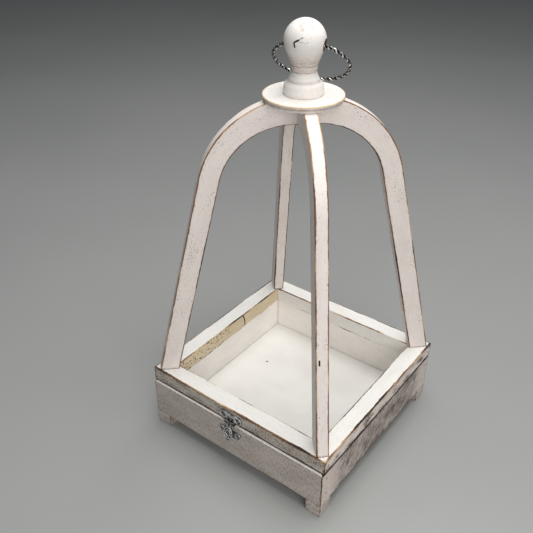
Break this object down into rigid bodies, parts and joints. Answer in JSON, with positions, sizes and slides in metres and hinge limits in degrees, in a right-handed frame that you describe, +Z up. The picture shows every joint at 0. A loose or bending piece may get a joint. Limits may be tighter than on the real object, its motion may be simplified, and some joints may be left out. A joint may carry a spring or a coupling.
{
  "type": "hurricane candle lantern",
  "caption": "Open wooden candle lantern: a footed square tray under a hinged lid frame, whose arched legs meet below a round cap with a ball finial and a wire carrying ring.",
  "frame": {"origin": "centre of the tray's footprint, on the surface that the feet stand on", "axes": "+Z up along the cap's axis; the latch is on the front, which faces -Y; the hinges are on the back"},
  "size_m": [0.2, 0.2095, 0.3964],
  "materials": {
    "rough_painted_board": "white paint worn thin over rough-sawn board",
    "painted_rail": "distressed white paint with bare brown edges",
    "painted_leg": "distressed white paint with bare brown edges",
    "painted_turning": "distressed white paint, chipped to bare wood",
    "painted_panel": "smooth white paint",
    "ring_wire": "antique silver, dark in the twist",
    "latch_metal": "antique silver over a black ground",
    "hinge_metal": "dull antique silver",
    "fastener_steel": "plain steel"
  },
  "bodies": {
    "tray": {"front_wall": "rough_painted_board", "back_wall": "rough_painted_board", "left_wall": "rough_painted_board", "right_wall": "rough_painted_board", "floor_panel": "painted_panel", "front_left_foot": "rough_painted_board", "front_right_foot": "rough_painted_board", "back_left_foot": "rough_painted_board", "back_right_foot": "rough_painted_board", "foot_brads": "fastener_steel", "tray_corner_brads": "fastener_steel", "latch_catch_plate": "latch_metal", "catch_nails": "latch_metal", "left_hinge_tray_leaf": "hinge_metal", "right_hinge_tray_leaf": "hinge_metal", "left_hinge_pin": "hinge_metal", "right_hinge_pin": "hinge_metal", "hinge_tray_screws": "hinge_metal"},
    "lid": {"lid_front_rail": "painted_rail", "lid_back_rail": "painted_rail", "lid_left_rail": "painted_rail", "lid_right_rail": "painted_rail", "front_left_leg": "painted_leg", "front_right_leg": "painted_leg", "back_left_leg": "painted_leg", "back_right_leg": "painted_leg", "leg_screws": "fastener_steel", "lid_corner_brads": "fastener_steel", "lower_cap_disc": "painted_turning", "upper_cap_disc": "painted_turning", "cap_disc_brads": "fastener_steel", "finial": "painted_turning", "latch_top_plate": "latch_metal", "latch_pin": "latch_metal", "latch_plate_nails": "latch_metal", "left_hinge_lid_leaf": "hinge_metal", "right_hinge_lid_leaf": "hinge_metal", "hinge_lid_screws": "hinge_metal"},
    "hasp": {"latch_hasp": "latch_metal"},
    "ring": {"carrying_ring": "ring_wire"}
  },
  "joints": [
    {"name": "lid_hinge", "type": "hinge", "parent": "tray", "child": "lid", "pos_m": [0, 0.1021, 0.0534], "axis": [-1, 0, 0], "range_deg": [0, 105]},
    {"name": "hasp_swing", "type": "hinge", "parent": "lid", "child": "hasp", "pos_m": [-0.002, -0.1006, 0.055], "axis": [-1, 0, 0], "range_deg": [-10, 150]},
    {"name": "ring_swing", "type": "hinge", "parent": "lid", "child": "ring", "pos_m": [0, 0.00085, 0.3775], "axis": [0.9455, 0.3256, 0], "range_deg": [-6, 271]}
  ]
}
